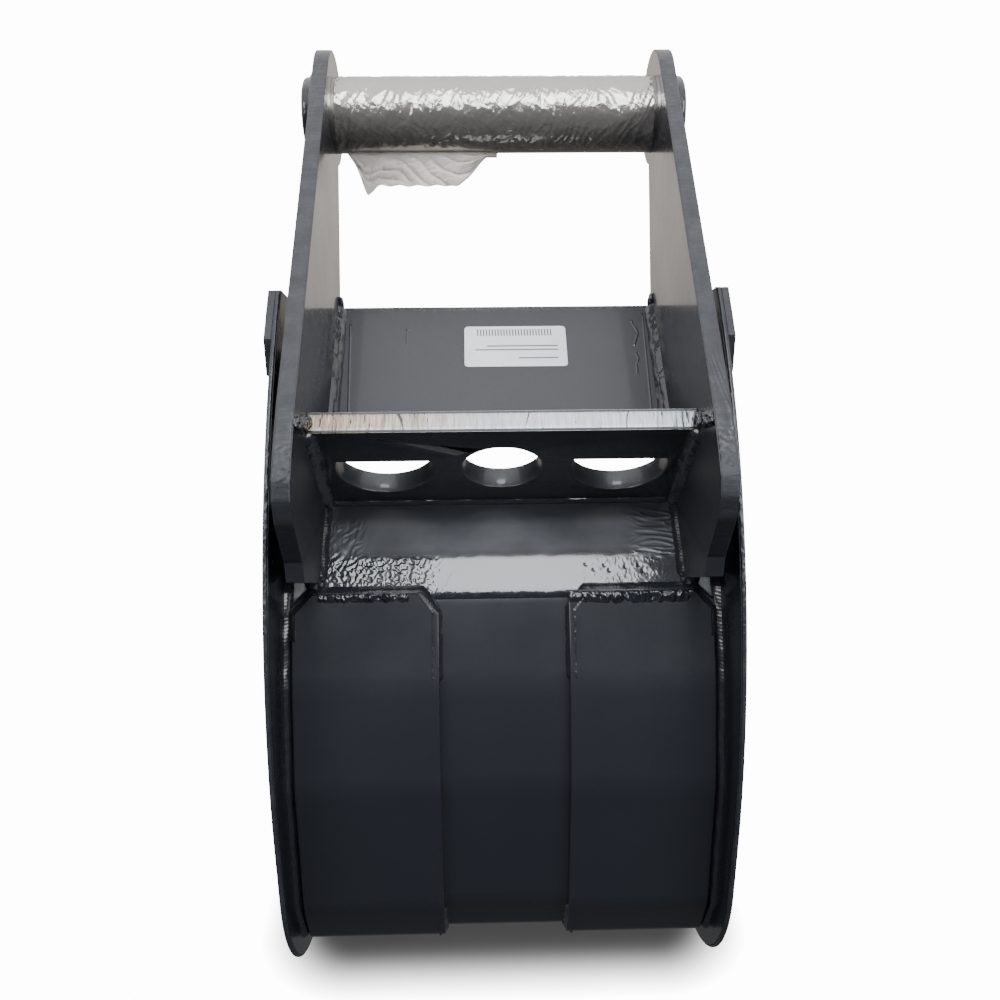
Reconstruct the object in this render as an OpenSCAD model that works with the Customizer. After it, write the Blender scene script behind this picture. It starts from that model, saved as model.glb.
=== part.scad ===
// Digging bucket with a fixed-shaft hanger, for a small excavator.
// The rear of the bucket faces -Y, the mouth faces +Y, and it stands on its heel and cutting edge.
// The side view is drawn with s, the distance forward of the rear of the side plates, and h, the height.

/* [Bucket] */
// Width over the side plates
bucket_w = 400; // [340:5:480]
// Length from the rear of the side plates to the lip of the cutting edge
bucket_l = 700; // [660:5:760]
// Height of the top rear corner of the side plates
bucket_h = 640; // [615:5:675]
// Thickness of the side plates
side_t = 5; // [4:0.5:8]
// Thickness of the bent shell
shell_t = 8; // [6:0.5:10]
// Radius of the side plates round the heel
heel_r = 138; // [130:1:155]
// Height where the heel round passes into the back round
back_h = 190; // [175:5:205]
// Radius of the side plates up the back
back_r = 600; // [570:10:660]
// Run of the top edge of the side plates, front to back
top_run = 187; // [175:1:200]
// Fall of that top edge, in degrees
top_fall = 20; // [15:1:22]
// Inward bow of the mouth edge of the side plates
mouth_bow = 22; // [0:1:35]

/* [Cutting edge and teeth] */
// Thickness of the cutting edge, which is also the height of the floor
edge_t = 20; // [16:1:25]
// Depth of the cutting edge, front to back
edge_d = 130; // [100:5:150]
// Length of the bevel along its front
edge_bevel = 35; // [25:1:45]
// Height left at the lip
edge_lip = 4; // [3:0.5:6]
// Lap of the floor over the cutting edge
floor_lap = 40; // [30:1:50]
// Width of a tooth
tooth_w = 62; // [50:1:70]
// Reach of a tooth in front of the lip
tooth_reach = 130; // [110:1:150]
// Height of a tooth at its root
tooth_h = 58; // [52:1:64]
// Diameter of the pin that holds a tooth on its adapter
tooth_pin_d = 12; // [8:0.5:14]

/* [Wear plates] */
// Thickness of the wear plates
wear_t = 8; // [6:0.5:10]
// Width of each wear plate
wear_w = 130; // [100:1:135]
// Gap between a wear plate and the side plate beside it
wear_side_gap = 7; // [7:0.5:20]
// Length of the chamfers at the top corners
wear_chamfer = 18; // [10:1:35]
// Length of each wear plate along the floor
wear_floor = 150; // [100:5:200]

/* [Mouth edge plates] */
// Thickness of the plates outside the mouth edges
edge_plate_t = 7; // [4:0.5:10]
// Width of these plates along the mouth and along the top
edge_plate_w = 78; // [60:1:90]
// Run of their tail behind the top rear corner of the side plates
edge_plate_tail = 38; // [20:1:45]

/* [Hanger] */
// Gap between an ear and the side plate beside it
ear_side_gap = 16; // [10:1:40]
// Thickness of the ears
ear_t = 15; // [12:0.5:18]
// Radius of the ear heads
head_r = 56; // [53:1:60]
// Distance of the head centre beyond the shaft centre
head_lead = 8; // [5:0.5:10]
// Diameter of the hitch shaft
shaft_d = 74; // [60:1:80]
// Height of the hitch shaft above the top of the shell
shaft_rise = 345; // [335:1:360]
// Distance of the hitch shaft in front of the top of the shell
shaft_ahead = 222; // [210:1:235]
// Length of shaft that stands out of each ear
shaft_end = 10; // [6:0.5:14]

/* [Seat and locking plates] */
// Thickness of the seat plate
seat_t = 12; // [10:0.5:16]
// Length of the seat plate along its slope
seat_len = 169; // [150:1:175]
// Slope of the seat plate, in degrees
seat_angle = 37; // [33:1:41]
// Height of the top edge of the seat plate above the top of the shell
seat_rise = 157; // [150:1:165]
// Distance of that edge in front of the top of the shell
seat_ahead = 166; // [160:1:172]
// Thickness of the locking plate
lock_t = 20; // [15:0.5:22]
// Length of the locking plate behind the shell
lock_len = 129; // [122:1:140]
// Length of the locking plate in front of the shell surface
lock_foot = 18; // [14:1:22]
// Slope of the locking plate, in degrees
lock_slope = 47; // [43:1:51]
// Diameter of the round centre hole
lock_hole_d = 72; // [60:1:75]
// Web between the centre hole and the D-shaped hole on each side of it
lock_web = 25; // [20:1:35]
// Web between a D-shaped hole and the ear beside it
lock_side_web = 17; // [14:1:25]
// Height of the flat of a D-shaped hole above its centre
lock_slot_flat = 14; // [8:1:20]
// Distance from the bare edge to the hole centres
lock_inset = 64; // [60:1:68]

/* [Mouth tube] */
// Outside diameter of the tube across the mouth
tube_d = 76; // [60:1:80]
// Wall of the tube
tube_t = 8; // [5:0.5:10]
// Distance of the tube below the top edge of the seat plate, along its slope
tube_set = 65; // [60:1:75]

/* [Weld beads] */
// Leg of the weld beads on the hanger and the wear plates
bead = 9; // [5:0.5:10]
// Leg of the long beads between the shell and the side plates
long_bead = 7; // [4:0.5:7]

/* [Hidden] */

// Overrun of a cutting shape past the surface it cuts
over = 1;
// Clearance between pieces that slip together
slip = 0.5;
// Clearance between a curved face and what it rests on
rest = 0.3;
round_fn = 96;
arc_steps = 20;

PAINT = [0.13, 0.14, 0.17];
PAINT_DARK = [0.09, 0.10, 0.12];
BARE = [0.72, 0.70, 0.66];
WORN = [0.35, 0.34, 0.33];

half_w = bucket_w / 2;
inner_half = half_w - side_t;
ear_half = inner_half - ear_side_gap - ear_t;
wear_outer = inner_half - wear_side_gap;
wear_inner = wear_outer - wear_w;
shaft_r = shaft_d / 2;
tube_r = tube_d / 2;
mid_s = (bucket_l + tooth_reach) / 2;

// Point at a distance along a direction given in degrees, in the side view
function step(from, angle, distance) = from + distance * [cos(angle), sin(angle)];

// Points of an arc in the side view
function arc(centre, radius, start, end) =
    [for (i = [0:arc_steps]) step(centre, start + (end - start) * i / arc_steps, radius)];

// Points of a bow from one point to another, whose middle stands off to the left by bow
function bowed(from, to, bow) =
    let (run = to - from, side = [-run.y, run.x] / norm(run), pull = (from + to) / 2 + 2 * bow * side)
    [for (i = [0:arc_steps]) let (t = i / arc_steps)
        (1 - t) * (1 - t) * from + 2 * t * (1 - t) * pull + t * t * to];

// Outline of a bent sheet: a line of points and the same line moved to its left by a thickness
function unit(v) = v / norm(v);
function left_of(v) = [-v.y, v.x];
function moved(line, t, i) =
    let (last = len(line) - 1,
         before = i == 0 ? unit(line[1] - line[0]) : unit(line[i] - line[i - 1]),
         after = i == last ? before : unit(line[i + 1] - line[i]),
         half = unit(left_of(before) + left_of(after)))
    line[i] + half * t / (half * left_of(before));
function sheet(line, t) =
    concat(line, [for (i = [len(line) - 1:-1:0]) moved(line, t, i)]);

// Bends of the shell as shares of the bucket's length and height, from the top down to the heel
shell_top_share = [0.26, 0.69375];
shell_bend_shares = [
    [0.1936, 0.6375], [0.16, 0.6], [0.1086, 0.4828], [0.0714, 0.3453], [0.0643, 0.1484], [0.0921, 0.075]
];
floor_start_share = 0.1714;
function placed(share) = [share.x * bucket_l, share.y * bucket_h];
shell_top = placed(shell_top_share);
shell_bends = [for (share = shell_bend_shares) placed(share)];
floor_start = [floor_start_share * bucket_l, edge_t];
floor_end = [bucket_l - edge_d + floor_lap, edge_t];
shell_line = concat([shell_top], shell_bends, [floor_start, floor_end]);

// Side plate corners
back_turn = asin((bucket_h - back_h) / back_r);
top_rear = [back_r - back_r * cos(back_turn), bucket_h];
top_front = top_rear + [top_run, -top_run * tan(top_fall)];
mouth_foot = [bucket_l - edge_bevel, edge_t];
mouth_line = bowed(top_front, mouth_foot, -mouth_bow);

// Hanger points, from the top edge of the shell
shaft_at = shell_top + [shaft_ahead, shaft_rise];
head_at = step(shaft_at, atan2(shaft_rise, shaft_ahead), head_lead);
seat_top = shell_top + [seat_ahead, seat_rise];
tube_at = step(step(seat_top, seat_angle + 180, tube_set), seat_angle - 90, seat_t + tube_r + rest);
lock_edge = step(shell_top, 180 - lock_slope, lock_len);

// Ear corners as shares of the shaft's place, from the top edge of the shell
ear_back_shares = [[-0.565, 0.362], [-0.689, 0.278], [-0.745, 0.232], [-0.766, 0.185],
                   [-0.755, 0.13], [-0.705, 0.0725], [-0.645, 0.005], [-0.635, -0.049]];
ear_foot_share = 0.7;
ear_front_shares = [[0.795, 0.455], [1.036, 0.881]];
function on_ear(share) = shell_top + [share.x * shaft_ahead, share.y * shaft_rise];
ear_back = [for (share = ear_back_shares) on_ear(share)];
ear_foot = shell_bends[0] + ear_foot_share * (shell_bends[1] - shell_bends[0]);
ear_front = [for (share = ear_front_shares) on_ear(share)];
function tangent(from, centre, radius) =
    let (reach = norm(centre - from), aim = atan2(centre.y - from.y, centre.x - from.x))
    step(from, aim + asin(radius / reach), sqrt(reach * reach - radius * radius));

// Stand a side-view outline up and give it a thickness from x0 to x1
module across(x0, x1) {
    translate([x0, -mid_s, 0]) rotate([90, 0, 90]) linear_extrude(height = x1 - x0) children();
}

// A rod across the bucket in the side view
module rod(at, radius, x0, x1) {
    translate([x0, at.x - mid_s, at.y]) rotate([0, 90, 0])
        cylinder(r = radius, h = x1 - x0, $fn = round_fn);
}

// Copy to the other side
module mirrored() {
    mirror([1, 0, 0]) children();
}

module both_sides() {
    children();
    mirrored() children();
}

module side_outline() {
    polygon(concat(
        arc([heel_r, heel_r], heel_r, 270, 180),
        arc([back_r, back_h], back_r, 180, 180 - back_turn),
        mouth_line,
        [[bucket_l - edge_d, edge_t], [bucket_l - edge_d, 0]]
    ));
}

module side_plate() {
    color(PAINT) across(inner_half, half_w) side_outline();
}

module mouth_edge_plate() {
    color(PAINT_DARK) across(half_w, half_w + edge_plate_t) intersection() {
        side_outline();
        polygon(sheet(concat([step(top_rear, 180 - top_fall, edge_plate_w)], mouth_line), -edge_plate_w));
        translate([top_rear.x - edge_plate_tail, edge_t]) square([bucket_l, bucket_h]);
    }
}

module shell() {
    color(PAINT) across(-inner_half, inner_half) polygon(sheet(shell_line, shell_t));
}

module cutting_edge() {
    color(PAINT_DARK) across(-half_w, half_w) polygon([
        [bucket_l - edge_d, 0], [bucket_l, 0], [bucket_l, edge_lip],
        [bucket_l - edge_bevel, edge_t], [bucket_l - edge_d, edge_t]
    ]);
}

// Teeth: places along a tooth as shares of its reach, heights as shares of its height
adapter_share = [0.73, 0.28];
shoulder_share = 0.88;
nose_shares = [0.1, 0.6];
nose_root_shares = [0.14, 0.74];
nose_tip_shares = [0.2, 0.44];
pin_share = [0.27, 0.42];
tip_shares = [0.8, 0.14];
nose_w_share = 0.55;

adapter_leg = adapter_share.x * tooth_reach;
adapter_leg_h = adapter_share.y * tooth_h;
shoulder_h = shoulder_share * tooth_h;
nose_start = nose_shares[0] * tooth_reach;
nose_end = nose_shares[1] * tooth_reach;
nose_w = nose_w_share * tooth_w;
nose_root = nose_root_shares * tooth_h;
nose_tip = nose_tip_shares * tooth_h;
tip_w = tip_shares.x * tooth_w;
tip_h = tip_shares.y * tooth_h;
pin_ahead = pin_share.x * tooth_reach;
pin_h = pin_share.y * tooth_h;
tooth_x = half_w - tooth_w / 2 - side_t;

function nose(gap) = [
    [bucket_l + nose_start, nose_root[0] - gap], [bucket_l + nose_end + gap, nose_tip[0] - gap],
    [bucket_l + nose_end + gap, nose_tip[1] + gap], [bucket_l + nose_start, nose_root[1] + gap]
];

module tooth_pin_bore(x, radius) {
    rod([bucket_l + pin_ahead, pin_h], radius, x - tooth_w, x + tooth_w);
}

module tooth_adapter(x) {
    color(PAINT_DARK) difference() {
        union() {
            across(x - tooth_w / 2, x + tooth_w / 2) polygon([
                [bucket_l - adapter_leg, edge_t], [bucket_l - edge_bevel, edge_t], [bucket_l, edge_lip],
                [bucket_l, 0], [bucket_l + nose_start, 0], [bucket_l + nose_start, shoulder_h],
                [bucket_l - nose_start, shoulder_h], [bucket_l - adapter_leg, edge_t + adapter_leg_h]
            ]);
            across(x - nose_w / 2, x + nose_w / 2) polygon(nose(0));
        }
        tooth_pin_bore(x, tooth_pin_d / 2);
    }
}

module tooth_point(x) {
    color(WORN) difference() {
        intersection() {
            across(x - tooth_w / 2, x + tooth_w / 2) polygon([
                [bucket_l + nose_start + slip, 0], [bucket_l + tooth_reach, 0],
                [bucket_l + tooth_reach, tip_h],
                [bucket_l + nose_end, nose_tip[1] + nose_root[0]],
                [bucket_l + nose_start + slip, tooth_h]
            ]);
            translate([x, bucket_l - mid_s, 0]) linear_extrude(height = tooth_h) polygon([
                [-tooth_w / 2, nose_start], [tooth_w / 2, nose_start], [tip_w / 2, tooth_reach],
                [-tip_w / 2, tooth_reach]
            ]);
        }
        across(x - nose_w / 2 - slip, x + nose_w / 2 + slip) polygon(nose(slip));
        tooth_pin_bore(x, tooth_pin_d / 2);
    }
}

module tooth_pins() {
    color(BARE) for (x = [-tooth_x, 0, tooth_x])
        rod([bucket_l + pin_ahead, pin_h], tooth_pin_d / 2 - rest, x - tooth_w / 2, x + tooth_w / 2);
}

// Wear plates, bent over the back and under the heel
wear_start = 1;
wear_line = concat([for (i = [wear_start:len(shell_bends) - 1]) shell_bends[i]],
                   [floor_start, floor_start + [wear_floor, 0]]);

// Cut at a top corner of a wear plate, standing at x and running towards side
module wear_corner(x, side) {
    translate([x, -mid_s, moved(wear_line, -wear_t, 0).y]) rotate([-90, 0, 0]) linear_extrude(height = mid_s)
        polygon([[-side * over, -over], [side * wear_chamfer, -over], [-side * over, wear_chamfer]]);
}

module wear_plate() {
    color(PAINT) difference() {
        across(wear_inner, wear_outer) polygon(sheet(wear_line, -wear_t));
        wear_corner(wear_inner, 1);
        wear_corner(wear_outer, -1);
    }
}

// Hanger
module ear() {
    color(PAINT) across(ear_half, ear_half + ear_t) difference() {
        union() {
            polygon(concat([head_at, tangent(ear_back[0], head_at, head_r)], ear_back,
                           [ear_foot, shell_top, tube_at], ear_front));
            translate(head_at) circle(r = head_r, $fn = round_fn);
        }
        translate(shaft_at) circle(r = shaft_r, $fn = round_fn);
        translate(tube_at) circle(r = tube_r + rest, $fn = round_fn);
    }
}

shaft_half = ear_half + ear_t + shaft_end;
shaft_round_share = 0.4;
shaft_round = shaft_round_share * shaft_end;
// Section of the ring of weld round the shaft, as shares of the bead's leg
ring_shares = [[0, 0], [1, 0], [0.75, 0.55], [0.3, 0.85], [0, 0.9]];

module hitch_shaft() {
    color(BARE) translate([-shaft_half, shaft_at.x - mid_s, shaft_at.y]) rotate([0, 90, 0])
        rotate_extrude($fn = round_fn) polygon([
            [0, 0], [shaft_r - shaft_round, 0], [shaft_r, shaft_round],
            [shaft_r, 2 * shaft_half - shaft_round], [shaft_r - shaft_round, 2 * shaft_half],
            [0, 2 * shaft_half]
        ]);
}

module shaft_weld() {
    color(PAINT_DARK) translate([ear_half + ear_t, shaft_at.x - mid_s, shaft_at.y]) rotate([0, 90, 0])
        rotate_extrude($fn = round_fn) polygon([for (share = ring_shares) [shaft_r, 0] + share * bead]);
}

module seat_plate() {
    low = step(seat_top, seat_angle + 180, seat_len);
    color(PAINT) across(-ear_half, ear_half) polygon([
        seat_top, low, step(low, seat_angle - 90, seat_t), step(seat_top, seat_angle - 90, seat_t)
    ]);
}

// Place a shape drawn in the plane of the locking plate: x across, y down the slope from the bare edge
module on_locking_plate() {
    translate([0, lock_edge.x - mid_s, lock_edge.y]) rotate([-lock_slope, 0, 0]) children();
}

lock_slot_d = ear_half - lock_side_web - lock_web - lock_hole_d / 2;
lock_pitch = ear_half - lock_side_web - lock_slot_d / 2;

module lock_hole(x) {
    translate([x, lock_inset]) circle(d = lock_hole_d, $fn = round_fn);
}

module lock_slot(x) {
    translate([x, lock_inset]) intersection() {
        circle(d = lock_slot_d, $fn = round_fn);
        translate([-lock_slot_d, -lock_slot_flat]) square(2 * lock_slot_d);
    }
}

module locking_plate() {
    color(PAINT_DARK) on_locking_plate() linear_extrude(height = lock_t) difference() {
        translate([-ear_half, 0]) square([2 * ear_half, lock_len + lock_foot]);
        lock_hole(0);
        lock_slot(-lock_pitch);
        lock_slot(lock_pitch);
    }
}

module mouth_tube() {
    color(PAINT) difference() {
        rod(tube_at, tube_r, -inner_half, inner_half);
        rod(tube_at, tube_r - tube_t, -inner_half - over, inner_half + over);
    }
}

// Three-sided weld bead along a line of the side view. It lies against a face at x, reaches one leg
// from that face towards -X, and climbs the face by lift, which is negative on the outside of the shell.
module swept_bead(line, x, leg, lift) {
    last = len(line) - 1;
    points = [for (i = [0:last]) let (on = line[i] - [mid_s, 0], up = moved(line, lift, i) - [mid_s, 0])
        each [[x, on.x, on.y], [x - leg, on.x, on.y], [x, up.x, up.y]]];
    sides = [for (i = [0:last - 1], k = [0:2]) let (a = 3 * i + k, b = 3 * i + (k + 1) % 3)
        each [[a, b, b + 3], [a, b + 3, a + 3]]];
    ends = [[2, 1, 0], [3 * last, 3 * last + 1, 3 * last + 2]];
    faces = concat(sides, ends);
    polyhedron(points, lift < 0 ? faces : [for (face = faces) [face[2], face[1], face[0]]]);
}

module seat_weld_beads() {
    low = step(seat_top, seat_angle + 180, seat_len);
    color(PAINT_DARK) both_sides() swept_bead([low, seat_top], ear_half, bead, bead);
}

module locking_weld_beads() {
    color(PAINT_DARK) both_sides() on_locking_plate() translate([ear_half, 0, lock_t])
        rotate([-90, 0, 0]) linear_extrude(height = lock_len)
            polygon([[0, 0], [-bead, 0], [0, -bead]]);
}

module ear_foot_weld_beads() {
    color(PAINT_DARK) both_sides() mirrored()
        swept_bead([shell_top, shell_bends[0], ear_foot], -ear_half - ear_t, bead, -bead);
}

// The inner edges are welded at the top and at the heel only
module wear_weld_beads() {
    low = len(wear_line) - 1;
    top_edge = wear_line[0];
    top_outside = moved(wear_line, -wear_t, 0);
    above = shell_bends[wear_start - 1];
    color(PAINT_DARK) both_sides() {
        across(wear_inner + wear_chamfer, wear_outer - wear_chamfer)
            polygon([top_edge, top_outside, top_edge + bead * unit(above - top_edge)]);
        swept_bead([wear_line[0] + wear_chamfer * unit(wear_line[1] - wear_line[0]), wear_line[1]],
                   wear_inner, bead, -wear_t);
        swept_bead([for (i = [low - 3:low - 1]) wear_line[i]], wear_inner, bead, -wear_t);
    }
}

module tube_weld_beads() {
    color(PAINT_DARK) both_sides() translate([inner_half, tube_at.x - mid_s, tube_at.y])
        rotate([0, -90, 0]) rotate_extrude($fn = round_fn)
            polygon([for (share = ring_shares) [tube_r, 0] + share * long_bead]);
}

// Long beads down both sides of the shell, outside and inside, as far as the cutting edge
module shell_weld_beads() {
    outside = concat([shell_top], shell_bends, [floor_start, [bucket_l - edge_d, edge_t]]);
    inside = [for (i = [0:len(shell_line) - 1]) moved(shell_line, shell_t, i)];
    color(PAINT_DARK) both_sides() {
        swept_bead(outside, inner_half, long_bead, -long_bead);
        swept_bead(inside, inner_half, long_bead, long_bead);
    }
}

side_plate();  // side_plate_right
mirrored() side_plate();  // side_plate_left
mouth_edge_plate();  // mouth_edge_plate_right
mirrored() mouth_edge_plate();  // mouth_edge_plate_left
shell();
cutting_edge();
tooth_adapter(-tooth_x);  // tooth_adapter_left
tooth_adapter(0);  // tooth_adapter_centre
tooth_adapter(tooth_x);  // tooth_adapter_right
tooth_point(-tooth_x);  // tooth_point_left
tooth_point(0);  // tooth_point_centre
tooth_point(tooth_x);  // tooth_point_right
tooth_pins();
wear_plate();  // wear_plate_right
mirrored() wear_plate();  // wear_plate_left
ear();  // ear_right
mirrored() ear();  // ear_left
hitch_shaft();
shaft_weld();  // shaft_weld_right
mirrored() shaft_weld();  // shaft_weld_left
seat_plate();
locking_plate();
mouth_tube();
seat_weld_beads();
locking_weld_beads();
ear_foot_weld_beads();
wear_weld_beads();
tube_weld_beads();
shell_weld_beads();
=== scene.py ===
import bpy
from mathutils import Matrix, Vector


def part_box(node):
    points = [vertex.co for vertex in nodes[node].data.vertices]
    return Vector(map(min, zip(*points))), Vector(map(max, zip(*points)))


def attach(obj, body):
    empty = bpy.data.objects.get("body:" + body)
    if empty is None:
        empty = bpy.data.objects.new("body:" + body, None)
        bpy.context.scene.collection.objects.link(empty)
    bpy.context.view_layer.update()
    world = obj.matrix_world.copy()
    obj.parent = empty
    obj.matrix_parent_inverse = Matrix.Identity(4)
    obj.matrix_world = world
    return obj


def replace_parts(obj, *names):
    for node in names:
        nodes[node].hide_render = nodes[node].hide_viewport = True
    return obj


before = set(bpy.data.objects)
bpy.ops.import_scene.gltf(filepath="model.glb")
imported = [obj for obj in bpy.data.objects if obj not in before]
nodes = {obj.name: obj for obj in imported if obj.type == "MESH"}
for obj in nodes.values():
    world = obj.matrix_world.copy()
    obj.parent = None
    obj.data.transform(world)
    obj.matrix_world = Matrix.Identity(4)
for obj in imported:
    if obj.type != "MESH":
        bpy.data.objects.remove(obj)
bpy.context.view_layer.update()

import math

import bmesh
import bpy
from mathutils import Matrix, Vector, noise

MM = 0.001
JOIN = 0.00002  # corners closer than this are one corner

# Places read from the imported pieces, in metres
shaft_lo, shaft_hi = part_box("hitch_shaft")
SHAFT_AT = (shaft_lo + shaft_hi) / 2
SHAFT_R = (shaft_hi.z - shaft_lo.z) / 2
EAR_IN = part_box("ear_right")[0].x
EAR_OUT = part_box("ear_right")[1].x
WALL_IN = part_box("side_plate_right")[0].x
WALL_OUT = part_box("side_plate_right")[1].x
WEAR_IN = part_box("wear_plate_right")[0].x
WEAR_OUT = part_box("wear_plate_right")[1].x
BESIDE_EAR = EAR_IN - 6 * MM  # where the cross plates are cut for their side view, outside the locking holes

# Sizes of the looks' own forms
BEND_R = 11 * MM
WEAR_CORNER = 18 * MM
BEAD_STEP = 0.9 * MM
SKIN_DEPTH = 1.0 * MM
FILM_THICK = 0.15 * MM
PRINT_THICK = 0.06 * MM
ACROSS = Vector((1, 0, 0))

# Camera, as fitted to the photograph
EYE = Vector((-0.0227, -1.1093, 0.7654))
PITCH, YAW, ROLL = 20.06, -1.42, 0.25
FOCAL_PX, PHOTO_PX = 986.6, 1000
SENSOR_MM = 36

# Studio
SKY_STRENGTH = 4.5
BACKDROP_GLOW = 14.0
BUCKET_MIDDLE = (0, -0.2, 0.4)

FLAME_CUT_PLATES = ("ear_left", "ear_right", "side_plate", "mouth_edge")


# Materials

class Nodes:
    """A node tree, with short calls for the nodes used here."""

    def __init__(self, tree):
        self.tree = tree

    def add(self, kind, **settings):
        made = self.tree.nodes.new(kind)
        for name, value in settings.items():
            setattr(made, name, value)
        return made

    def feed(self, source, target):
        if isinstance(source, tuple):
            target.default_value = (*source, 1) if len(target.default_value) == 4 else source
        elif isinstance(source, (int, float)):
            target.default_value = source
        else:
            self.tree.links.new(source, target)

    def range(self, source, low, high, start=0.0, end=1.0):
        made = self.add("ShaderNodeMapRange")
        for name, value in (("Value", source), ("From Min", low), ("From Max", high),
                            ("To Min", start), ("To Max", end)):
            self.feed(value, made.inputs[name])
        return made.outputs["Result"]

    def math(self, operation, *values):
        made = self.add("ShaderNodeMath", operation=operation)
        for value, socket in zip(values, made.inputs):
            self.feed(value, socket)
        return made.outputs["Value"]

    def axis(self, vector, name):
        made = self.add("ShaderNodeSeparateXYZ")
        self.feed(vector, made.inputs["Vector"])
        return made.outputs[name]

    def mix(self, share, one, two):
        made = self.add("ShaderNodeMix", data_type="RGBA")
        self.feed(share, made.inputs[0])
        self.feed(one, made.inputs[6])
        self.feed(two, made.inputs[7])
        return made.outputs[2]

    def ramp(self, source, stops):
        made = self.add("ShaderNodeValToRGB")
        elements = made.color_ramp.elements
        while len(elements) < len(stops):
            elements.new(0.5)
        for element, (position, colour) in zip(elements, stops):
            element.position = position
            element.color = (*colour, 1)
        self.feed(source, made.inputs["Fac"])
        return made.outputs["Color"]


class Finish(Nodes):
    """A material on its Principled shader, laid out in the piece's own coordinates."""

    def __init__(self, name):
        self.material = bpy.data.materials.new(name)
        self.material.use_nodes = True
        super().__init__(self.material.node_tree)
        self.shader = self.tree.nodes["Principled BSDF"]
        spot = self.add("ShaderNodeTexCoord")
        self.place = spot.outputs["Object"]
        self.facing = spot.outputs["Normal"]

    def set(self, **values):
        for name, value in values.items():
            self.feed(value, self.shader.inputs[name.replace("_", " ")])

    def noise(self, scale, detail=3, rough=0.5, stretch=None, turn=(0, 0, 0)):
        where = self.place
        if stretch:
            mapping = self.add("ShaderNodeMapping")
            mapping.inputs["Scale"].default_value = stretch
            mapping.inputs["Rotation"].default_value = [math.radians(angle) for angle in turn]
            self.feed(self.place, mapping.inputs["Vector"])
            where = mapping.outputs["Vector"]
        made = self.add("ShaderNodeTexNoise")
        for name, value in (("Scale", scale), ("Detail", detail), ("Roughness", rough), ("Vector", where)):
            self.feed(value, made.inputs[name])
        return made.outputs["Fac"]

    def bump(self, height, strength, depth, before=None):
        made = self.add("ShaderNodeBump")
        made.inputs["Strength"].default_value = strength
        made.inputs["Distance"].default_value = depth
        self.feed(height, made.inputs["Height"])
        if before:
            self.feed(before, made.inputs["Normal"])
        return made.outputs["Normal"]


PAINT = (0.012, 0.0135, 0.018)
DUST_AND_PAINTED_LIGHT = (0.085, 0.088, 0.096)
SEAM_DUST_AND_SHEEN = (0.055, 0.058, 0.066)
BARE_WARM = (0.55, 0.45, 0.36)
BARE_COLD = (0.60, 0.63, 0.68)


def black_paint(name, rough=0.26, orange_peel=0.08, grey_share=0.16):
    """Thick near-black gloss over hot-rolled plate, with a little grey dusting, full on its upper half and
    fading below, which paints the lower body darker as painted shade.
    """
    made = Finish(name)
    clouds = made.noise(11, 4)
    specks = made.noise(420, 2)
    haze = made.math("MULTIPLY", made.range(clouds, 0.2, 0.9), made.range(specks, 0.4, 0.7, 0.5, 1.0))
    # The dusting fades out towards the bottom: painted shade that darkens the lower body.
    dust_with_painted_low_shade = made.math("MULTIPLY", haze, made.range(made.axis(made.place, "Z"), 0.25, 0.45, 0.1, 1.0))
    made.set(Base_Color=made.mix(made.math("MULTIPLY", dust_with_painted_low_shade, grey_share), PAINT, DUST_AND_PAINTED_LIGHT))
    made.set(Roughness=made.range(clouds, 0.2, 0.9, rough, rough + 0.10))
    made.set(Coat_Weight=0.5, Coat_Roughness=0.08)
    peel = made.bump(made.noise(190, 3), orange_peel, 0.001)
    made.set(Normal=made.bump(made.noise(22, 3), 0.1, 0.003, peel))
    return made.material


def plate_paint():
    """The same gloss on the flame-cut plates: duller on their cut edges, and dull and painted darker low down
    on the ears as painted shade.
    """
    made = Finish("flame_cut_plate_paint")
    height = made.axis(made.place, "Z")
    clouds = made.noise(11, 4)
    edge = made.range(made.math("ABSOLUTE", made.axis(made.facing, "X")), 0.75, 0.45)
    face = made.math("SUBTRACT", 1.0, edge)
    ears = made.range(made.math("ABSOLUTE", made.axis(made.place, "X")), EAR_OUT + 4 * MM, EAR_OUT + 2 * MM)
    low = made.math("MULTIPLY", made.range(height, 0.575, 0.535), ears)
    # Less grey low down on the ears: painted shade that darkens their lower parts.
    painted_ear_shade = made.math("SUBTRACT", 1.0, made.math("MULTIPLY", made.range(height, 0.62, 0.50, 0.0, 0.85), ears))
    blotch = made.range(made.noise(60, 4, 0.6), 0.35, 0.7)
    grey_share = made.math("MULTIPLY", edge, made.range(blotch, 0.0, 1.0, 0.05, 0.3))
    made.set(Base_Color=made.mix(made.math("MULTIPLY", grey_share, painted_ear_shade), PAINT, DUST_AND_PAINTED_LIGHT))
    gloss = made.range(clouds, 0.3, 0.8, 0.24, 0.34)
    dull = made.math("MULTIPLY", low, face)
    made.set(Roughness=made.math("MAXIMUM", gloss, made.math("MULTIPLY", low, 0.52)))
    bare = made.math("MAXIMUM", edge, dull)
    made.set(Coat_Weight=made.range(bare, 0.0, 1.0, 0.5, 0.0), Coat_Roughness=0.08)
    drag = made.bump(made.math("MULTIPLY", made.noise(260, 4, 0.6, stretch=(0.25, 1, 1)), edge), 0.4, 0.0012)
    made.set(Normal=made.bump(made.noise(22, 3), 0.2, 0.003, drag))
    return made.material


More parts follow.
